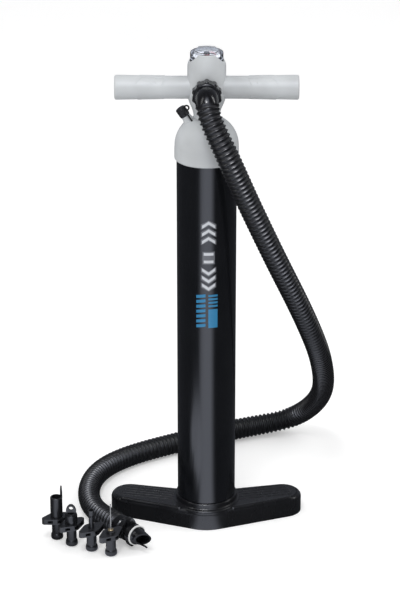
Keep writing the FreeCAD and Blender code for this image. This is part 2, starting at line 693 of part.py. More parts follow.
def make_gauge_needle():
    """Pointer on its arbor, with a round counterweight."""
    z = DIAL_Z + 1.5
    pivot = cylinder(0.85, 549.0, z)
    boss = turned((0, z - 0.5), (2.6, z - 0.5), (2.6, z + 0.4), ((2.2, z + 0.9), (1.2, z + 1.1)),
                  (0, z + 1.1))
    wire = Part.makePolygon([Vector(-0.9, 4.0, z), Vector(0.9, 4.0, z), Vector(0.25, -11.5, z),
                             Vector(-0.25, -11.5, z), Vector(-0.9, 4.0, z)])
    pointer = Part.Face(wire).extrude(Vector(0, 0, 0.5))
    return pivot.fuse([boss, pointer])


# ---------------------------------------------------------------- union nut and hose

ELBOW_END = Vector(0.6, -47.5, 513.0)
ELBOW_HEADING = Vector(0.12, -0.62, -0.775)
HOSE_END_GRIP = 17.0            # length of the hose-end collar behind the nozzle's flange

# Points that steer the hose: down beside the barrel, back to the floor, round behind the stand
HOSE_GUIDES = [
    Vector(20, -63, 468),
    Vector(39, -54, 419),
    Vector(59, -44, 372),
    Vector(79, -32, 325),
    Vector(99, -15, 279),
    Vector(116, 7, 234),
    Vector(129, 36, 192),
    Vector(136, 70, 154),
    Vector(140, 109, 118),
    Vector(140, 153, 81),
    Vector(130, 196, 43),
    Vector(104, 218, HOSE_FLOOR_Z + 2),
    Vector(57, 205, HOSE_FLOOR_Z),
    Vector(3, 180, HOSE_FLOOR_Z),
    Vector(-46, 153, HOSE_FLOOR_Z),
    Vector(-92, 126, HOSE_FLOOR_Z),
    Vector(-128, 89, HOSE_FLOOR_Z),
    Vector(-141, 38, HOSE_FLOOR_Z),
    Vector(-133, -15, HOSE_FLOOR_Z),
]


def make_union_nut():
    """Scalloped captive nut. Built along +Z from its rear face, then stood on the port's axis."""
    length = NUT_REAR_Y - NUT_FRONT_Y
    core_r = NUT_LOBE_R - 1.5
    body = turned((0, 0), (core_r - 0.6, 0), (core_r, 0.6), (core_r, length - 2.4),
                  ((core_r - 0.5, length - 0.8), (core_r - 2.0, length)), (0, length))
    lobes = []
    for x, y in around(NUT_LOBES, NUT_LOBE_R - 3.2, 90):
        lobe = turned((0, 0.4), (2.8, 0.4), (3.2, 1.0), (3.2, length - 3.4),
                      ((2.9, length - 2.5), (2.1, length - 2.0)), (0, length - 2.0))
        lobe.translate(Vector(x, y, 0))
        lobes.append(lobe)
    body = body.fuse(lobes)
    bore = turned((0, -1), (PORT_R + 0.08, -1), (PORT_R + 0.08, 8.3), (14.0, 8.3), (14.0, 11.6),
                  (CUFF_R + 0.15, 11.6), (CUFF_R + 0.15, length + 1), (0, length + 1))
    return stood_on(body.cut(bore), Vector(0, NUT_REAR_Y, GRIP_Z), FRONT)


def make_port_gasket():
    flat = ring(9.2, PORT_BORE_R, 0, 0.9)
    return stood_on(flat, Vector(0, PORT_TIP_Y - SEAT, GRIP_Z), FRONT)


def make_hose_elbow():
    """Cuff that the union nut holds against the port, turning the hose downwards."""
    start = Vector(0, PORT_TIP_Y - 1.0, GRIP_Z)
    throat = Vector(0, NUT_FRONT_Y - 0.3, GRIP_Z)
    flange = rod_between(13.9, start, start + FRONT * 2.1)
    neck = rod_between(CUFF_R, start, throat)
    path = guided_path([throat, throat + FRONT * 5, ELBOW_END - ELBOW_HEADING * 5, ELBOW_END])
    bend = pipe(path, CUFF_R)
    inner_bend = pipe(path, HOSE_BORE_R)
    inner_neck = rod_between(PORT_BORE_R + 0.5, start + Vector(0, 1, 0), throat + FRONT * 1.0)
    body = flange.fuse([neck, bend])
    return body.cut(inner_bend).cut(inner_neck)


def make_hose():
    start = ELBOW_END + ELBOW_HEADING * 0.3
    finish = NOZZLE_ORIGIN - NOZZLE_AXIS * (HOSE_END_GRIP + 0.3)
    guides = [start, start + ELBOW_HEADING * 14] + HOSE_GUIDES + [finish - NOZZLE_AXIS * 19, finish]
    path = guided_path(guides)
    return pipe(path, HOSE_R).cut(pipe(path, HOSE_BORE_R))


# ---------------------------------------------------------------- hose end and nozzle

def lug_flange(z_low, z_high):
    """Two-lug flange about Z: a round middle that tapers to a lug at each end of its X axis."""
    lug_x = LUG_LENGTH - LUG_R
    slope = math.acos((LUG_WIDTH - LUG_R) / lug_x)
    plate = cylinder(LUG_WIDTH, z_low, z_high)
    for side in (-1, 1):
        middle = Vector(side * LUG_WIDTH * math.cos(slope), LUG_WIDTH * math.sin(slope), z_low)
        end = Vector(side * (lug_x + LUG_R * math.cos(slope)), LUG_R * math.sin(slope), z_low)
        corners = [middle, end, Vector(end.x, -end.y, z_low), Vector(middle.x, -middle.y, z_low), middle]
        web = Part.Face(Part.makePolygon(corners)).extrude(Vector(0, 0, z_high - z_low))
        plate = plate.fuse([cylinder(LUG_R, z_low, z_high, side * lug_x), web])
    plate = plate.removeSplitter()
    for x, depth in ((-10.0, 2.9), (0.0, 7.0), (10.0, 2.9)):
        for side in (-1, 1):
            low, high = sorted((side * depth, side * 14.0))
            plate = plate.cut(box(x - 2.6, x + 2.6, low, high, z_low + 1.7, z_high - 1.7))
    return plate


def on_hose_end(shape):
    """Stand a shape on the hose end: its X points right, its Y up and its Z out of the hose."""
    right = Vector(math.cos(NOZZLE_YAW), math.sin(NOZZLE_YAW), 0)
    frame = FreeCAD.Rotation(right, Z_AXIS, NOZZLE_AXIS, "ZXY")
    placed = shape.copy()
    placed.Placement = FreeCAD.Placement(NOZZLE_ORIGIN, frame).multiply(shape.Placement)
    return placed


def make_hose_end_cuff():
    back = -HOSE_END_GRIP
    body = turned((0, back), (12.7, back), (13.1, back + 0.5), (13.1, back + 9.0), (12.2, back + 10.5),
                  (12.2, -SEAT), (0, -SEAT))
    grooves = [ring(14.0, 12.5, back + 1.8 + 2.4 * k, back + 2.9 + 2.4 * k) for k in range(3)]
    bore = turned((0, back - 1), (9.4, back - 1), (9.4, -11.5), (5.5, -11.5), (5.5, 1), (0, 1))
    return on_hose_end(body.cut(Part.makeCompound(grooves)).cut(bore))


def make_bayonet_nozzle():
    """Two-lug flange, a round nose cut off obliquely into a beak, and a small hook below it."""
    flange = lug_flange(0, 6.6)
    flange.rotate(Vector(0, 0, 0), Z_AXIS, 90)
    stub = turned((0, 1.0), (0, -10.5), (4.6, -10.5), (5.45, -9.6), (5.45, 1.0))
    nose = turned((0, 6.2), (11.4, 6.2), (11.4, 13.4), (9.8, 13.4), (9.8, 15.4), (10.5, 15.5), (10.5, 16.4),
                  (9.3, 17.4), (8.9, 19.0), (6.6, 34.0), (0, 34.0))
    beak_side = Vector(math.cos(BEAK_ROLL), math.sin(BEAK_ROLL), 0)
    cut_normal = Z_AXIS * math.cos(BEAK_SLANT) - beak_side * math.sin(BEAK_SLANT)
    blank = stood_on(box(-40, 40, -40, 40, 0, 40), Vector(0, 0, 26.6), cut_normal)
    bore = turned((0, -12), (3.4, -12), (3.4, 10.0), (7.1, 17.0), (5.1, 34.5), (0, 34.5))
    body = flange.fuse([stub, nose]).cut(blank).cut(bore)
    hook = capsule(1.1, Vector(-1.6, -7.4, 20.0), Vector(-0.6, -7.3, 30.0))
    toe = capsule(1.1, Vector(-0.6, -7.3, 30.0), Vector(0.4, -8.4, 31.6))
    return on_hose_end(body.fuse([hook, toe]))


def make_nozzle_gasket():
    gasket = turned((9.85, 13.45), (11.4, 13.45), (11.8, 13.8), (11.8, 14.9), (11.4, 15.3), (9.85, 15.3))
    return stood_on(gasket, NOZZLE_ORIGIN, NOZZLE_AXIS)


# ---------------------------------------------------------------- loose adapters

def adapter_base(turn):
    """What all four adapters share: a beaded stub and a two-lug flange, turned in degrees."""
    stub = turned((0, 0), (5.2, 0), ((6.5, 0.9), (STUB_BEAD_R, 3.0)),
                  ((STUB_BEAD_R - 0.2, 5.4), (STUB_R, 7.6)), (STUB_R, FLANGE_BOTTOM_Z + 1),
                  (0, FLANGE_BOTTOM_Z + 1))
    flange = lug_flange(FLANGE_BOTTOM_Z, FLANGE_TOP_Z)
    flange.rotate(Vector(0, 0, 0), Z_AXIS, turn)
    return stub.fuse(flange)


def make_adapter(name, top_parts, bores):
    """An adapter: its base and its top parts, bored out and carried to its place."""
    x, y, turn = ADAPTER_PLACES[name]
    body = adapter_base(turn).fuse(top_parts).cut(Part.makeCompound(bores))
    body.translate(Vector(x, y, 0))
    return body


def make_adapter_wide_tube():
    """Plain tube with a thin tongue standing on its right-hand rim."""
    top = 52.8
    tube = turned((0, FLANGE_TOP_Z - 1), (7.0, FLANGE_TOP_Z - 1), (6.9, top - 0.8), (6.3, top), (0, top))
    outline = [(-2.0, top - 3), (2.0, top - 3), (1.9, top + 6), (0.6, top + 12.6), (-0.6, top + 12.6),
               (-1.9, top + 6), (-2.0, top - 3)]
    tongue = Part.Face(Part.makePolygon([Vector(5.5, y, z) for y, z in outline])).extrude(Vector(1.3, 0, 0))
    tongue.rotate(Vector(0, 0, 0), Z_AXIS, 25)
    bores = [cylinder(STUB_BORE_R, -1, FLANGE_TOP_Z + 2), cylinder(5.3, FLANGE_TOP_Z + 1, top + 1)]
    return make_adapter("wide_tube", [tube, tongue], bores)


def make_adapter_bridge_tube():
    """Tube with a rounded bridge across its mouth and an eye through the bridge."""
    rim = 41.0
    eye = 46.2
    body = turned((0, FLANGE_TOP_Z - 1), (7.1, FLANGE_TOP_Z - 1), (7.0, rim - 3.0), (6.6, rim - 2.4),
                  (5.7, rim), ((4.9, 47.0), (2.6, 50.2)), (1.2, 51.0), (0, 51.0))
    bores = [
        cylinder(STUB_BORE_R, -1, FLANGE_TOP_Z + 2),
        cylinder(4.2, FLANGE_TOP_Z + 1, rim),
        rod_between(2.4, Vector(0, -8, eye + 1.0), Vector(0, 8, eye - 1.0)),
        box(-8, 8, -8, -2.0, rim - 0.6, 52),
        box(-8, 8, 2.0, 8, rim - 0.6, 52),
    ]
    return make_adapter("bridge_tube", [body], bores)


def make_adapter_slim_cup():
    """Slim stem that ends in a small cup."""
    stem = turned((0, FLANGE_TOP_Z - 1), (4.2, FLANGE_TOP_Z - 1), ((3.2, 30.0), (2.9, 32.4)), (2.8, 42.0),
                  (3.6, 44.6), (3.7, 50.2), (0, 50.2))
    bores = [cylinder(1.5, 20.0, 46.0), cylinder(2.7, 44.8, 51.0),
             cylinder(STUB_BORE_R, -1, FLANGE_BOTTOM_Z)]
    return make_adapter("slim_cup", [stem], bores)


def make_adapter_needle_holder():
    """Flange with a socket that holds the ball needle."""
    socket = turned((0, FLANGE_TOP_Z - 1), (6.0, FLANGE_TOP_Z - 1), ((5.0, 29.2), (4.7, 30.4)),
                    (4.5, SOCKET_TOP_Z), (0, SOCKET_TOP_Z))
    bores = [cylinder(STUB_BORE_R, -1, FLANGE_BOTTOM_Z), cylinder(2.4, 25.0, 33.0),
             cylinder(1.4, 19.0, 26.0)]
    return make_adapter("needle_holder", [socket], bores)


def make_ball_needle():
    low = 25.0 + SEAT
    seat = SOCKET_TOP_Z + SEAT
    body = turned((0.35, low), (2.35, low), (2.35, seat), (3.2, seat), (3.2, seat + 1.0),
                  (2.8, seat + 1.4), (1.2, seat + 1.6), (0.76, seat + 3.4), (0.6, 62.6),
                  ((0.57, 63.5), (0.37, 64.0)), (0.35, 64.0))
    x, y, _ = ADAPTER_PLACES["needle_holder"]
    body.translate(Vector(x, y, 0))
    return body


# ---------------------------------------------------------------- write every piece

def build():
    handle_front_shell, handle_rear_shell = make_handle_shells()
    return {
        "base_plate": make_base_plate(),
        "base_screws": make_base_screws(),
        "barrel": make_barrel(),
        "barrel_end_plug": make_barrel_end_plug(),
        "end_plug_o_ring": o_ring(29.0, 1.4, 12.9),
        "foot_valve_disc": make_foot_valve_disc(),
        "foot_valve_retainer": make_foot_valve_retainer(),
        "piston_lower": make_piston_lower(),
        "piston_upper": make_piston_upper(),
        "piston_screws": make_piston_screws(),
        "piston_seal": make_piston_seal(),
        "piston_lower_valve": make_piston_lower_valve(),
        "piston_upper_valve": make_piston_upper_valve(),
        "piston_rod": make_piston_rod(),
        "barrel_cap": make_barrel_cap(),
        "cap_o_ring": o_ring(29.3, 1.12, 443.2),
        "cap_valve_ring": make_cap_valve_ring(),
        "cap_valve_clip": make_cap_valve_clip(),
        "rod_bush": make_rod_bush(),
        "rod_seal": make_rod_seal(),
        "seal_retainer": make_seal_retainer(),
        "vent_plug": make_vent_plug(),
        "vent_plug_o_ring": make_vent_plug_o_ring(),
        "plug_tether": make_plug_tether(),
        "handle_front_shell": handle_front_shell,
        "handle_rear_shell": handle_rear_shell,
        "handle_screws": make_handle_screws(),
        "handle_manifold": make_handle_manifold(),
        "manifold_o_ring": o_ring(10.97, 0.85, 497.8),
        "rod_pin": make_rod_pin(),
        "gauge_case": make_gauge_case(),
        "gauge_dial": make_gauge_dial(),
        "gauge_lens": make_gauge_lens(),
        "gauge_needle": make_gauge_needle(),
        "bourdon_tube": make_bourdon_tube(),
        "union_nut": make_union_nut(),
        "port_gasket": make_port_gasket(),
        "hose_elbow": make_hose_elbow(),
        "hose": make_hose(),
        "hose_end_cuff": make_hose_end_cuff(),
        "bayonet_nozzle": make_bayonet_nozzle(),
        "nozzle_gasket": make_nozzle_gasket(),
        "adapter_wide_tube": make_adapter_wide_tube(),
        "adapter_bridge_tube": make_adapter_bridge_tube(),
        "adapter_slim_cup": make_adapter_slim_cup(),
        "adapter_needle_holder": make_adapter_needle_holder(),
        "ball_needle": make_ball_needle(),
    }


os.makedirs("parts", exist_ok=True)
for name, shape in build().items():
    shape.exportStep("parts/" + name + ".step")
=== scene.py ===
import math

import bpy
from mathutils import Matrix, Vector


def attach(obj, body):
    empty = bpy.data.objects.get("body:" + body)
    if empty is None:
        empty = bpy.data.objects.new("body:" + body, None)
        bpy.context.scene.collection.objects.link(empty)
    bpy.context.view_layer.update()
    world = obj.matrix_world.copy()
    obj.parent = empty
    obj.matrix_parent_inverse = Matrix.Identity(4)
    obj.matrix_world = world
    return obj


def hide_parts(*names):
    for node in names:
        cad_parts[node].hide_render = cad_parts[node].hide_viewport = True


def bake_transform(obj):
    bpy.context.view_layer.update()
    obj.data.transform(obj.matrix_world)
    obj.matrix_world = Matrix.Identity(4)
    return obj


# Looks for the double action hand pump. Shapes are written in millimetres and scaled to metres
# when their mesh is made. +Z is up, -Y is the front.

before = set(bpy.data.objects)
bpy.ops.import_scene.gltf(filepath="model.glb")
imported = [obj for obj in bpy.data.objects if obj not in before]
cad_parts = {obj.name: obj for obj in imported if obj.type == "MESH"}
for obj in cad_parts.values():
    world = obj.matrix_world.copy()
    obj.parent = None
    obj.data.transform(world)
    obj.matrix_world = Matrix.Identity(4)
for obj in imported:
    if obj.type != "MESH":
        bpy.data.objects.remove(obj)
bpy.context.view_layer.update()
MM = 0.001


# ---------------------------------------------------------------- node materials

class Nodes:
    """Adds nodes to a tree and wires values or sockets into their inputs."""

    def __init__(self, tree):
        self.tree = tree

    def node(self, kind, **settings):
        made = self.tree.nodes.new(kind)
        for key, value in settings.items():
            setattr(made, key, value)
        return made

    def plug(self, socket, value):
        if isinstance(value, bpy.types.NodeSocket):
            self.tree.links.new(value, socket)
        else:
            socket.default_value = value

    def math(self, operation, a, b=0.0, c=0.0):
        made = self.node("ShaderNodeMath", operation=operation)
        for socket, value in zip(made.inputs, (a, b, c)):
            self.plug(socket, value)
        return made.outputs[0]

    def axes(self, vector):
        made = self.node("ShaderNodeSeparateXYZ")
        self.plug(made.inputs[0], vector)
        return made.outputs

    def spread(self, value, low, high, start=0.3, end=0.7, curve="LINEAR"):
        """Runs from low to high while value runs from start to end."""
        made = self.node("ShaderNodeMapRange", interpolation_type=curve)
        self.plug(made.inputs["Value"], value)
        for key, number in (("From Min", start), ("From Max", end), ("To Min", low), ("To Max", high)):
            made.inputs[key].default_value = number
        return made.outputs[0]

    def mix(self, share, first, second):
        """Colour that is first where share is 0 and second where it is 1."""
        made = self.node("ShaderNodeMix", data_type="RGBA")
        self.plug(made.inputs[0], share)
        for socket, value in ((made.inputs[6], first), (made.inputs[7], second)):
            self.plug(socket, value if isinstance(value, bpy.types.NodeSocket) else (*value, 1.0))
        return made.outputs[2]

    def either(self, share, first, second):
        """Value that is first where share is 0 and second where it is 1."""
        kept = self.math("MULTIPLY", self.math("SUBTRACT", 1.0, share), first)
        return self.math("ADD", kept, self.math("MULTIPLY", share, second))


class Shader(Nodes):
    """A Principled material whose inputs are driven by procedural nodes."""

    def __init__(self, name, color, roughness, **inputs):
        self.material = bpy.data.materials.new(name)
        self.material.use_nodes = True
        super().__init__(self.material.node_tree)
        self.bsdf = self.tree.nodes["Principled BSDF"]
        self.coords = self.node("ShaderNodeTexCoord").outputs["Object"]
        self.set("Base Color", (*color, 1.0))
        self.set("Roughness", roughness)
        for key, value in inputs.items():
            self.set(key.replace("_", " "), value)

    def set(self, key, value):
        self.plug(self.bsdf.inputs[key], value)

    def noise(self, scale, detail=3.0, stretch=(1, 1, 1)):
        """Noise value; scale is in features per metre."""
        mapping = self.node("ShaderNodeMapping")
        mapping.inputs["Scale"].default_value = stretch
        self.plug(mapping.inputs["Vector"], self.coords)
        made = self.node("ShaderNodeTexNoise")
        self.plug(made.inputs["Vector"], mapping.outputs[0])
        made.inputs["Scale"].default_value = scale
        made.inputs["Detail"].default_value = detail
        return made.outputs["Fac"]

    def edges(self, low=0.52, high=0.60):
        """1 on worn outer edges, 0 elsewhere."""
        geometry = self.node("ShaderNodeNewGeometry")
        return self.spread(geometry.outputs["Pointiness"], 0.0, 1.0, low, high)

    def bump(self, height, strength, distance=0.0003, below=None):
        made = self.node("ShaderNodeBump")
        made.inputs["Strength"].default_value = strength
        made.inputs["Distance"].default_value = distance
        self.plug(made.inputs["Height"], height)
        if below is not None:
            self.plug(made.inputs["Normal"], below)
        return made.outputs[0]

    def swap_surface(self, share, other):
        """Shows the other shader instead of the Principled one where share is 1."""
        both = self.node("ShaderNodeMixShader")
        for socket, value in zip(both.inputs, (share, self.bsdf.outputs[0], other)):
            self.plug(socket, value)
        self.plug(self.tree.nodes["Material Output"].inputs["Surface"], both.outputs[0])


def moulded(name, color, roughness, grain=0.12, wear=0.25):
    """Injection-moulded plastic: fine spark-eroded grain, faint flow clouds, rubbed edges."""
    s = Shader(name, color, roughness)
    clouds = s.noise(22, 2.0)
    grit = s.noise(2600, 2.0)
    dark = tuple(0.86 * c for c in color)
    light = tuple(min(1.0, 1.10 * c + 0.0008) for c in color)
    rubbed = tuple(min(1.0, 1.25 * c + 0.03) for c in color)
    base = s.mix(s.spread(clouds, 0.0, 1.0), dark, light)
    base = s.mix(s.math("MULTIPLY", s.edges(), wear), base, rubbed)
    s.set("Base Color", base)
    smear = s.noise(60, 4.0, (1, 1, 0.35))
    s.set("Roughness", s.spread(smear, roughness - 0.05, roughness + 0.07))
    ripple = s.bump(s.noise(90, 1.0), 0.10, 0.0006)
    s.set("Normal", s.bump(grit, grain, 0.00025, ripple))
    return s.material


def lacquered_tube():
    """Glossy black extruded tube: faint draw lines along Z, orange peel, a few hairline scuffs."""
    s = Shader("barrel_gloss", (0.005, 0.0055, 0.007), 0.2, Coat_Weight=0.25, Coat_Roughness=0.14)
    lines = s.noise(260, 3.0, (1, 1, 0.02))
    s.set("Roughness", s.spread(lines, 0.17, 0.27))
    clouds = s.noise(14, 2.0)
    s.set("Base Color", s.mix(s.spread(clouds, 0.0, 1.0), (0.0038, 0.0044, 0.0058), (0.0062, 0.0068, 0.0085)))
    peel = s.bump(s.noise(300, 2.0), 0.03, 0.0003)
    scuff = s.noise(700, 5.0, (1, 1, 0.06))
    s.set("Normal", s.bump(s.spread(scuff, 0.0, 1.0, 0.66, 0.72), 0.03, 0.0001, peel))
    return s.material


def ribbed_hose():
    """Soft black hose: waxy sheen (lower roughness) on the crests, painted shade darkening the valleys, faint
    lighter dusty clouds.
    """
    s = Shader("hose_skin", (0.010, 0.010, 0.012), 0.32, Specular_IOR_Level=0.75)
    crest = s.node("ShaderNodeAttribute", attribute_name="crest").outputs["Fac"]
    clouds = s.noise(35, 3.0)
    # painted shade: the valleys between the crests are coloured darker than the crests
    base = s.mix(crest, (0.002, 0.002, 0.0026), (0.012, 0.0123, 0.0140))
    base = s.mix(s.spread(clouds, 0.0, 0.25), base, (0.013, 0.0132, 0.0148))
    s.set("Base Color", base)
    s.set("Roughness", s.spread(s.math("MULTIPLY", crest, s.spread(clouds, 0.9, 1.1)), 0.55, 0.17, 0.0, 1.0))
    s.set("Normal", s.bump(s.noise(1500, 3.0), 0.06, 0.0002))
    return s.material


def metal(name, color, roughness, stretch=(1, 1, 1)):
    s = Shader(name, color, roughness, Metallic=1.0)
    lines = s.noise(1600, 4.0, stretch)
    s.set("Roughness", s.spread(lines, roughness - 0.08, roughness + 0.12))
    s.set("Normal", s.bump(lines, 0.08, 0.0001))
    stains = s.noise(80, 3.0)
    s.set("Base Color", s.mix(s.spread(stains, 0.0, 0.3), color, tuple(0.7 * c for c in color)))
    return s.material


def plated_needle():
    """Dull nickel-plated tube on a brass collar."""
    s = Shader("plated_needle", (0.30, 0.29, 0.27), 0.42, Metallic=1.0)
    above = s.spread(s.axes(s.coords)["Z"], 0.0, 1.0, 0.0325, 0.0335)
    stains = s.spread(s.noise(220, 3.0), 0.0, 0.6)
    nickel = s.mix(stains, (0.34, 0.33, 0.31), (0.20, 0.19, 0.17))
    s.set("Base Color", s.mix(above, (0.50, 0.40, 0.24), nickel))
    s.set("Roughness", s.spread(s.noise(900, 3.0), 0.34, 0.55))
    return s.material


def clear_plastic():
    """Clear moulded plastic, a little cloudy and scuffed."""
    s = Shader("lens_clear", (0.95, 0.96, 0.98), 0.06, Transmission_Weight=1.0, IOR=1.24)
    haze = s.noise(160, 4.0)
    s.set("Roughness", s.spread(haze, 0.02, 0.12))
    s.set("Normal", s.bump(s.noise(500, 2.0), 0.03, 0.0002))
    rays = s.node("ShaderNodeLightPath").outputs
    s.swap_surface(rays["Is Shadow Ray"], s.node("ShaderNodeBsdfTransparent").outputs[0])
    return s.material


def rubber(name, color, roughness=0.6):
    s = Shader(name, color, roughness)
    s.set("Normal", s.bump(s.noise(1800, 4.0), 0.15, 0.0002))
    clouds = s.noise(120, 3.0)
    dusty = tuple(min(1, 1.3 * c + 0.002) for c in color)
    s.set("Base Color", s.mix(s.spread(clouds, 0.0, 0.6), color, dusty))
    s.set("Roughness", s.spread(clouds, roughness - 0.06, roughness + 0.08))
    return s.material


def printed(name, color):
    """Screen-printed ink: flat body colour with a faint mesh and thin spots."""
    s = Shader(name, color, 0.35)
    mesh = s.noise(1400, 2.0)
    s.set("Base Color", s.mix(s.spread(mesh, 0.0, 0.35), color, tuple(0.75 * c for c in color)))
    s.set("Roughness", s.spread(s.noise(200, 3.0), 0.28, 0.45))
    s.set("Normal", s.bump(mesh, 0.05, 0.0001))
    return s.material


BLACK = (0.0068, 0.0071, 0.0085)
GREY = (0.56, 0.58, 0.595)
MATERIALS = {
    "black": moulded("black_satin_plastic", BLACK, 0.29),
    "gloss_black": moulded("glossy_black_plastic", BLACK, 0.19, 0.07),
    "adapter_black": moulded("adapter_black_plastic", (0.0105, 0.011, 0.013), 0.29),
    "base_black": moulded("stand_satin_plastic", (0.0066, 0.0069, 0.0082), 0.27, 0.12, 0.06),
    "grey": moulded("light_grey_plastic", GREY, 0.42, 0.06, 0.20),
    "barrel": lacquered_tube(),
    "hose": ribbed_hose(),
    "steel": metal("drawn_steel", (0.62, 0.61, 0.60), 0.28, (1, 1, 0.1)),
    "aluminium": metal("drawn_aluminium", (0.80, 0.81, 0.82), 0.25, (1, 1, 0.03)),
    "brass": metal("drawn_brass", (0.75, 0.55, 0.24), 0.30),
    "needle": plated_needle(),
    "clear": clear_plastic(),
    "rubber": rubber("black_rubber", (0.007, 0.007, 0.008), 0.5),
    "white_rubber": rubber("white_rubber", (0.74, 0.75, 0.75), 0.5),
    "white_ink": printed("white_ink", (0.62, 0.64, 0.68)),
    "grey_ink": printed("grey_ink", (0.13, 0.135, 0.15)),
    "blue_ink": printed("blue_ink", (0.020, 0.21, 0.42)),
    "dial": printed("dial_white", (0.80, 0.80, 0.79)),
    "dial_black": printed("dial_black", (0.02, 0.02, 0.02)),
    "red": printed("needle_red", (0.55, 0.03, 0.03)),
}

NODE_MATERIALS = {
    "black": ["barrel_end_plug", "piston_lower", "piston_upper", "cap_valve_clip", "seal_retainer",
              "handle_manifold", "gauge_case"],
    "gloss_black": ["union_nut", "hose_elbow", "hose_end_cuff", "bayonet_nozzle"],
    "adapter_black": ["adapter_wide_tube", "adapter_bridge_tube", "adapter_slim_cup",
                      "adapter_needle_holder"],
    "base_black": ["base_plate"],
    "barrel": ["barrel"],
    "grey": ["barrel_cap", "handle_front_shell", "handle_rear_shell"],
    "steel": ["base_screws", "piston_screws", "foot_valve_retainer", "handle_screws", "rod_pin"],
    "needle": ["ball_needle"],
    "aluminium": ["piston_rod"],
    "brass": ["bourdon_tube"],
    "rubber": ["end_plug_o_ring", "foot_valve_disc", "piston_seal", "piston_lower_valve",
               "piston_upper_valve", "cap_o_ring", "cap_valve_ring", "rod_seal", "vent_plug",
               "vent_plug_o_ring", "plug_tether", "manifold_o_ring", "port_gasket"],
    "white_rubber": ["nozzle_gasket", "rod_bush"],
    "clear": ["gauge_lens"],
    "dial": ["gauge_dial"],
    "red": ["gauge_needle"],
    "hose": ["hose"],
}


def dress_nodes():
    for key, names in NODE_MATERIALS.items():
        for name in names:
            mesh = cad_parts[name].data
            mesh.materials.clear()
            mesh.materials.append(MATERIALS[key])


# ---------------------------------------------------------------- mesh helpers

def add_mesh(name, points, faces, material, smooth=True):
    """Mesh object from points in millimetres."""
    mesh = bpy.data.meshes.new(name)
    mesh.from_pydata([Vector(p) * MM for p in points], [], faces)
    mesh.validate()
    mesh.materials.append(MATERIALS[material])
    for face in mesh.polygons:
        face.use_smooth = smooth
    made = bpy.data.objects.new(name, mesh)
    bpy.context.scene.collection.objects.link(made)
    return made


def clamped_spline(poles, count):
    """Points on the clamped uniform cubic B-spline with these poles."""
    degree = 3
    spans = len(poles) - degree
    knots = [0.0] * degree + [i / spans for i in range(spans + 1)] + [1.0] * degree
    points = []
    for step in range(count + 1):
        u = min(step / count, 1.0 - 1e-9)
        k = degree + min(int(u * spans), spans - 1)
        local = [Vector(poles[j + k - degree]) for j in range(degree + 1)]
        for r in range(1, degree + 1):
            for j in range(degree, r - 1, -1):
                i = j + k - degree
                share = (u - knots[i]) / (knots[i + degree - r + 1] - knots[i])
                local[j] = local[j - 1].lerp(local[j], share)
        points.append(local[degree])
    return points


def even_path(points, spacing):
    """The same path with points an even distance apart."""
    lengths = [0.0]
    for a, b in zip(points, points[1:]):
        lengths.append(lengths[-1] + (b - a).length)
    count = max(2, round(lengths[-1] / spacing))
    result, k = [], 0
    for step in range(count + 1):
        target = lengths[-1] * step / count
        while k < len(points) - 2 and lengths[k + 1] < target:
            k += 1
        share = (target - lengths[k]) / (lengths[k + 1] - lengths[k])
        result.append(points[k].lerp(points[k + 1], share))
    return result


def path_frames(points):
    """A pair of cross axes at every point, carried along the path without twist."""
    tangents = []
    for i in range(len(points)):
        a, b = points[max(i - 1, 0)], points[min(i + 1, len(points) - 1)]
        tangents.append((b - a).normalized())
    side = tangents[0].orthogonal().normalized()
    frames = []
    for i, tangent in enumerate(tangents):
        if i:
            side = tangents[i - 1].rotation_difference(tangent) @ side
        side = (side - tangent * side.dot(tangent)).normalized()
        frames.append((side, tangent.cross(side), tangent))
    return frames


def grid_faces(rows, columns, first=0, flip=False):
    """Quads of a tube-like grid: rows of points, each row closed on itself."""
    faces = []
    for i in range(rows - 1):
        for j in range(columns):
            a = first + i * columns + j
            b = first + i * columns + (j + 1) % columns
            quad = (a, b, b + columns, a + columns)
            faces.append(quad[::-1] if flip else quad)
    return faces


def sweep(name, points, radii, material, columns=40, inner=None):
    """Tube along a path. With inner, the tube is hollow and its ends are rings."""
    frames = path_frames(points)
    rows = len(points)
    verts, faces = [], []
    for radius_of in ([radii] if inner is None else [radii, [inner] * rows]):
        for p, (side, cross, _), r in zip(points, frames, radius_of):
            for j in range(columns):
                a = 2 * math.pi * j / columns
                verts.append(p + (side * math.cos(a) + cross * math.sin(a)) * r)
    faces += grid_faces(rows, columns)
    if inner is None:
        faces.append(tuple(range(columns))[::-1])
        faces.append(tuple(range((rows - 1) * columns, rows * columns)))
    else:
        start = rows * columns
        faces += grid_faces(rows, columns, start, True)
        for row, flip in ((0, False), (rows - 1, True)):
            for j in range(columns):
                k = (j + 1) % columns
                a, b = row * columns + j, row * columns + k
                ring = (a, a + start, b + start, b)
                faces.append(ring[::-1] if flip else ring)
    return add_mesh(name, verts, faces, material)


# ---------------------------------------------------------------- hose

NOZZLE_YAW = math.radians(40.0)
NOZZLE_AXIS = Vector((math.sin(NOZZLE_YAW), -math.cos(NOZZLE_YAW), 0))
NOZZLE_ORIGIN = Vector((-88.0, -73.2, 17.8))
ELBOW_END = Vector((0.6, -47.5, 513.0))
ELBOW_HEADING = Vector((0.12, -0.62, -0.775))
FLOOR_Z = 13.0
HOSE_GUIDES = [
    (20, -63, 468), (39, -54, 419), (59, -44, 372), (79, -32, 325), (99, -15, 279), (116, 7, 234),
    (129, 36, 192), (136, 70, 154), (140, 109, 118), (140, 153, 81), (130, 196, 43),
    (104, 218, FLOOR_Z + 2), (57, 205, FLOOR_Z), (3, 180, FLOOR_Z), (-46, 153, FLOOR_Z),
    (-92, 126, FLOOR_Z), (-128, 89, FLOOR_Z), (-141, 38, FLOOR_Z), (-133, -15, FLOOR_Z),
]
HOSE_CREST_R = 12.85
HOSE_VALLEY_R = 10.9
HOSE_PITCH = 5.23


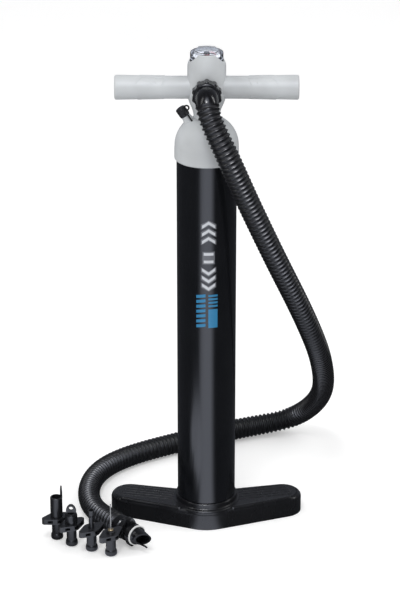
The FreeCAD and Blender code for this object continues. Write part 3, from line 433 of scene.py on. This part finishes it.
def make_hose():
    start = ELBOW_END + ELBOW_HEADING * 0.3
    finish = NOZZLE_ORIGIN - NOZZLE_AXIS * 17.3
    poles = [start, start + ELBOW_HEADING * 14] + [Vector(p) for p in HOSE_GUIDES]
    poles += [finish - NOZZLE_AXIS * 19, finish]
    steps = 10
    path = even_path(clamped_spline(poles, 4000), HOSE_PITCH / steps)
    radii, crests = [], []
    for i in range(len(path)):
        wave = 0.5 + 0.5 * math.cos(2 * math.pi * i / steps)
        crest = wave ** 1.6
        crests.append(crest)
        radii.append(HOSE_VALLEY_R + (HOSE_CREST_R - HOSE_VALLEY_R) * crest)
    columns = 48
    hose = sweep("corrugated_hose", path, radii, "hose", columns, 9.6)
    attribute = hose.data.attributes.new("crest", "FLOAT", "POINT")
    values = [crests[i] for i in range(len(path)) for _ in range(columns)]
    values += [0.0] * (len(hose.data.vertices) - len(values))
    attribute.data.foreach_set("value", values)
    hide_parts("hose")
    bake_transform(hose)


# ---------------------------------------------------------------- plug strap

NECK_TILT = math.radians(34.5)
NECK_AXIS = Vector((-math.sin(NECK_TILT), 0, math.cos(NECK_TILT)))
NECK_RIGHT = Vector((math.cos(NECK_TILT), 0, math.sin(NECK_TILT)))
STRAP_SPIN = math.radians(62)
STRAP_STEP = NECK_RIGHT * math.cos(STRAP_SPIN) + Vector((0, -1, 0)) * math.sin(STRAP_SPIN)


def beside_neck(distance, side):
    return Vector((0, 0, 453.5)) + NECK_AXIS * distance + STRAP_STEP * side


def make_strap():
    """Rubber strap that bends between the vent plug and its hole in the cap."""
    poles = [beside_neck(*spot) for spot in ((33.2, 8.4), (36.0, 8.4), (38.6, 8.5), (41.4, 9.3), (43.8, 9.0),
                                             (45.2, 7.8), (45.6, 6.6))]
    path = even_path(clamped_spline(poles, 600), 0.35)
    count = len(path)
    radii = [0.95 + 0.28 * math.exp(-((i / count - 0.93) / 0.06) ** 2) for i in range(count)]
    strap = sweep("strap", path, radii, "rubber", 20)
    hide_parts("plug_tether")
    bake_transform(strap)


# ---------------------------------------------------------------- printed graphic

DECAL_R = 33.06


def wrapped(polygons, radius, thickness=0.05):
    """Points and faces of thin patches laid on the barrel. Each polygon is a list of four corners
    (u, z), with u the distance round the barrel from its front, and is cut into narrow strips."""
    points, faces = [], []
    strips = 6

    def place(u, z, r):
        return (r * math.sin(u / radius), -r * math.cos(u / radius), z)

    for corners in polygons:
        a, b, c, d = [Vector(corner) for corner in corners]
        first = len(points)
        for i in range(strips + 1):
            low, high = a.lerp(b, i / strips), d.lerp(c, i / strips)
            for r in (radius, radius + thickness):
                points.append(place(low.x, low.y, r))
                points.append(place(high.x, high.y, r))
        for i in range(strips):
            k = first + 4 * i
            faces.append((k + 2, k + 6, k + 7, k + 3))
            faces.append((k + 1, k + 5, k + 4, k))
            faces.append((k, k + 4, k + 6, k + 2))
            faces.append((k + 3, k + 7, k + 5, k + 1))
        end = first + 4 * strips
        faces.append((first, first + 2, first + 3, first + 1))
        faces.append((end, end + 1, end + 3, end + 2))
    return points, faces


def chevron(z, way, grow=0.0):
    """Two slanted bars that meet at the middle of the graphic, pointing up or down."""
    middle, half, tall, rise = 2.2, 7.2 + grow, 3.6 + 2 * grow, 5.0
    low = z - grow
    left, right = middle - half, middle + half
    tip, foot = (low + rise, low) if way > 0 else (low, low + rise)
    return [
        [(left, foot), (middle, tip), (middle, tip + tall), (left, foot + tall)],
        [(middle, tip), (right, foot), (right, foot + tall), (middle, tip + tall)],
    ]


def make_decal():
    """Generic arrows for the two strokes above a blue bar code of plain stripes."""
    heads = [(368.5, 1), (359.5, 1), (350.5, 1), (313.5, -1), (304.5, -1), (295.5, -1)]
    white, halo = [], []
    for z, way in heads:
        white += chevron(z, way)
        halo += chevron(z, way, 1.3)
    white += [[(-3.2, 328.0), (7.6, 328.0), (7.6, 331.2), (-3.2, 331.2)],
              [(-3.2, 337.0), (7.6, 337.0), (7.6, 340.2), (-3.2, 340.2)]]
    halo += [[(-4.6, 326.6), (9.0, 326.6), (9.0, 341.6), (-4.6, 341.6)]]
    blue = [[(2.0, 250.6), (12.4, 250.6), (12.4, 273.0), (2.0, 273.0)]]
    for k in range(4):
        z = 275.6 + 4.1 * k
        blue.append([(2.0, z), (12.4, z), (12.4, z + 2.4), (2.0, z + 2.4)])
    for k in range(7):
        z = 250.6 + 5.9 * k
        blue.append([(-11.6, z), (-1.2, z + 1.6), (-1.2, z + 5.2), (-11.6, z + 3.6)])
    for name, polygons, material, r in (("graphic_halo", halo, "grey_ink", DECAL_R),
                                        ("graphic_white", white, "white_ink", DECAL_R + 0.06),
                                        ("graphic_blue", blue, "blue_ink", DECAL_R)):
        points, faces = wrapped(polygons, r)
        patch = add_mesh(name, points, faces, material, smooth=False)
        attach(patch, "pump_body")


# ---------------------------------------------------------------- handle marks

def grip_point(x, lean_deg, lift=0.0):
    """Point on a grip's surface at X = x, a lean above the level front."""
    radius = 12.45 + max(0.0, abs(x) - 45.0) / 52.1 + lift
    lean = math.radians(lean_deg)
    return Vector((x, -radius * math.cos(lean), 519.3 + radius * math.sin(lean)))


def make_grip_lines():
    """Fine raised outline round the dots on each grip, front and back."""
    corners = [(48.4, 26), (45.2, 62), (46.5, 70), (69.5, 72), (71.2, 66), (77.0, 34)]
    lower = [(48.4, -28), (46.0, -62), (74.0, -66), (77.0, -34)]
    for side in (-1, 1):
        for face in (-1, 1):
            for number, outline in enumerate((corners, lower)):
                points = []
                for (x0, t0), (x1, t1) in zip(outline, outline[1:]):
                    for k in range(8):
                        share = k / 8
                        points.append(grip_point(x0 + (x1 - x0) * share, t0 + (t1 - t0) * share, 0.02))
                points.append(grip_point(*outline[-1], 0.02))
                points = [Vector((side * p.x, face * -p.y, p.z)) for p in points]
                radii = [0.42] * len(points)
                radii[0] = radii[-1] = 0.15
                place = ("left" if side < 0 else "right", "front" if face > 0 else "rear", number)
                name = "grip_line_%s_%s_%d" % place
                line = sweep(name, points, radii, "grey", 10)
                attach(line, "handle")


# ---------------------------------------------------------------- gauge

def flat_ring(name, inner, outer, z_low, z_high, start_deg, end_deg, material, steps=48):
    """Part of a flat ring about Z. Angles run clockwise seen from above, from the front (-Y)."""
    points, faces = [], []
    for i in range(steps + 1):
        a = math.radians(start_deg + (end_deg - start_deg) * i / steps)
        for r in (inner, outer):
            for z in (z_low, z_high):
                points.append((-r * math.sin(a), -r * math.cos(a), z))
    for i in range(steps):
        k = 4 * i
        faces += [(k, k + 2, k + 6, k + 4), (k + 1, k + 5, k + 7, k + 3),
                  (k, k + 4, k + 5, k + 1), (k + 2, k + 3, k + 7, k + 6)]
    end = 4 * steps
    faces += [(0, 1, 3, 2), (end, end + 2, end + 3, end + 1)]
    return add_mesh(name, points, faces, material, smooth=False)


def make_dial_marks():
    """Scale of the gauge: ticks, numbers, a red end zone, and a black hub on the pointer."""
    top = 555.02
    spans = []
    for k in range(28):
        angle = 10.0 * k
        major = k % 3 == 0
        inner = 10.4 if major else 11.4
        half = 1.4 if major else 0.7
        spans.append((inner, 12.8, angle - half, angle + half, "dial_black"))
    spans.append((8.9, 10.0, 180.0, 272.0, "red"))
    for number, (inner, outer, start, end, material) in enumerate(spans):
        steps = 3 if end - start < 10 else 36
        mark = flat_ring("dial_mark_%02d" % number, inner, outer, top, top + 0.06, start, end,
                         material, steps)
        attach(mark, "handle")
    for k in range(0, 28, 9):
        angle = math.radians(10.0 * k)
        curve = bpy.data.curves.new("dial_number_%d" % k, "FONT")
        curve.body = str(10 * k // 9)
        curve.size = 3.2 * MM
        curve.extrude = 0.02 * MM
        curve.align_x, curve.align_y = "CENTER", "CENTER"
        curve.materials.append(MATERIALS["dial_black"])
        text = bpy.data.objects.new("dial_number_%d" % k, curve)
        text.location = Vector((-7.2 * math.sin(angle), -7.2 * math.cos(angle), top + 0.05)) * MM
        bpy.context.scene.collection.objects.link(text)
        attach(text, "handle")
    profile = [(0.9, 556.3), (3.3, 556.3), (3.3, 557.2), (2.7, 557.8), (1.0, 558.0), (0, 558.0)]
    cap = lathe("pointer_hub", profile, "dial_black")
    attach(cap, "gauge_needle")


def lathe(name, profile, material, columns=64):
    """Solid of revolution about Z through (r, z) points. The last point lies on the axis."""
    points = []
    for r, z in profile[:-1]:
        for j in range(columns):
            a = 2 * math.pi * j / columns
            points.append(Vector((r * math.cos(a), r * math.sin(a), z)))
    rows = len(profile) - 1
    last, tip = (rows - 1) * columns, rows * columns
    points.append(Vector((0, 0, profile[-1][1])))
    faces = grid_faces(rows, columns)
    faces += [(last + j, last + (j + 1) % columns, tip) for j in range(columns)]
    faces.append(tuple(range(columns))[::-1])
    return add_mesh(name, points, faces, material)


# ---------------------------------------------------------------- stage

COOL = (0.90, 0.95, 1.10)       # tint of what glossy parts see
FLOOR_LIFT = 0.30               # lifts the floor to the backdrop's white in the camera's view
STRIP_GLOW = 1.75               # painted reflection: glow of the floor in front of the pump, seen by glossy rays only
PATCH_GLOW = 1.8                # painted reflection: glow of the floor in front of the loose adapters, seen by glossy rays only
# painted reflection: dim glow of the rest of the floor, seen by glossy rays only
SHADE_GLOW = 0.06
STUDIO_FILL = 0.735
STUDIO_DARK = 0.06
STUDIO_BACK = 0.27
SOFTBOXES = ((58, 2.6), (34, 2.6))   # height in degrees and glow of the softboxes in front


def make_floor():
    """Pale sweep. For glossy rays it becomes an emission, a painted reflection: a bright strip in front, a
    glowing patch before the adapters, and a dim floor beside them.
    """
    mesh = bpy.data.meshes.new("floor")
    mesh.from_pydata([(-6, -5, 0), (6, -5, 0), (6, 8, 0), (-6, 8, 0)], [], [(0, 1, 2, 3)])
    s = Shader("pale_floor", (0.90, 0.90, 0.90), 0.8)
    clouds = s.spread(s.noise(3, 3.0), 0.0, 1.0)
    s.set("Base Color", s.mix(clouds, (0.88, 0.88, 0.88), (0.91, 0.91, 0.91)))
    s.set("Normal", s.bump(s.noise(400, 3.0), 0.02, 0.0002))
    rays = s.node("ShaderNodeLightPath").outputs
    s.set("Emission Color", (1.0, 1.0, 1.0, 1.0))
    s.set("Emission Strength", s.math("MULTIPLY", rays["Is Camera Ray"], FLOOR_LIFT))

    axes = s.axes(s.coords)
    forward = s.math("MULTIPLY", axes["Y"], -1.0)
    azimuth = s.math("ABSOLUTE", s.math("ARCTAN2", axes["X"], forward))
    strip = s.spread(azimuth, STRIP_GLOW, SHADE_GLOW, math.radians(13), math.radians(33), "SMOOTHSTEP")
    away = [s.math("POWER", s.math("SUBTRACT", axes[key], value), 2.0)
            for key, value in (("X", -0.15), ("Y", -0.21))]
    patch = s.spread(s.math("ADD", *away), PATCH_GLOW, 0.0, 0.006, 0.022, "SMOOTHSTEP")
    # painted reflection: glossy rays see this emission in place of the floor
    painted_reflection_glow = s.node("ShaderNodeEmission")
    s.plug(painted_reflection_glow.inputs["Color"], (*COOL, 1.0))
    s.plug(painted_reflection_glow.inputs["Strength"], s.math("MAXIMUM", strip, patch))
    s.swap_surface(rays["Is Glossy Ray"], painted_reflection_glow.outputs[0])

    mesh.materials.append(s.material)
    floor = bpy.data.objects.new("floor", mesh)
    bpy.context.scene.collection.objects.link(floor)


def make_world():
    """White backdrop and soft fill. Glossy parts see a dark studio, a dim glow behind, and softboxes."""
    world = bpy.data.worlds.new("studio")
    world.use_nodes = True
    world.cycles.sampling_method = "NONE"
    nodes = Nodes(world.node_tree)
    rays = nodes.node("ShaderNodeLightPath").outputs
    heading = nodes.node("ShaderNodeTexCoord").outputs["Generated"]
    mirrored = nodes.spread(nodes.axes(heading)["Y"], STUDIO_DARK, STUDIO_BACK, 0.1, 0.9, "SMOOTHSTEP")
    for height, strength in SOFTBOXES:
        lift = math.radians(height)
        toward = nodes.node("ShaderNodeVectorMath", operation="DOT_PRODUCT")
        nodes.plug(toward.inputs[0], heading)
        nodes.plug(toward.inputs[1], Vector((-0.05, -math.cos(lift), math.sin(lift))).normalized())
        softbox = nodes.spread(toward.outputs["Value"], 0.0, strength, 0.92, 0.975, "SMOOTHSTEP")
        mirrored = nodes.math("ADD", mirrored, softbox)
    light = nodes.either(rays["Is Glossy Ray"], STUDIO_FILL, mirrored)
    seen = nodes.math("MAXIMUM", rays["Is Camera Ray"], rays["Is Transmission Ray"])
    background = world.node_tree.nodes["Background"]
    nodes.plug(background.inputs["Color"], nodes.mix(rays["Is Glossy Ray"], (1, 1, 1), COOL))
    nodes.plug(background.inputs["Strength"], nodes.either(seen, light, 1.0))
    bpy.context.scene.world = world


def area_light(name, place, target, size, power):
    data = bpy.data.lights.new(name, "AREA")
    data.shape = "RECTANGLE"
    data.size, data.size_y = size
    data.energy = power
    made = bpy.data.objects.new(name, data)
    made.location = place
    aim = Vector(target) - Vector(place)
    made.rotation_mode = "QUATERNION"
    made.rotation_quaternion = aim.to_track_quat("-Z", "Y")
    bpy.context.scene.collection.objects.link(made)


def make_lights():
    area_light("key", (-0.25, -1.0, 2.0), (0, 0, 0.3), (0.45, 0.3), 10)
    area_light("left_strip", (-1.4, -0.4, 1.6), (0, 0, 0.2), (0.2, 1.2), 3.5)
    area_light("right_strip", (1.5, 0.2, 1.5), (0, 0, 0.2), (0.2, 1.2), 5)


def make_camera():
    data = bpy.data.cameras.new("camera")
    data.sensor_width = 36.0
    data.lens = 138.0
    data.clip_end = 50.0
    camera = bpy.data.objects.new("camera", data)
    camera.location = (-0.00726, -2.3694, 1.2761)
    camera.rotation_euler = (math.radians(67.0), 0.0, 0.0)
    bpy.context.scene.collection.objects.link(camera)
    bpy.context.scene.camera = camera
    bpy.context.scene.view_settings.view_transform = "Standard"


dress_nodes()
make_hose()
make_strap()
make_decal()
make_grip_lines()
make_dial_marks()
make_floor()
make_world()
make_lights()
make_camera()
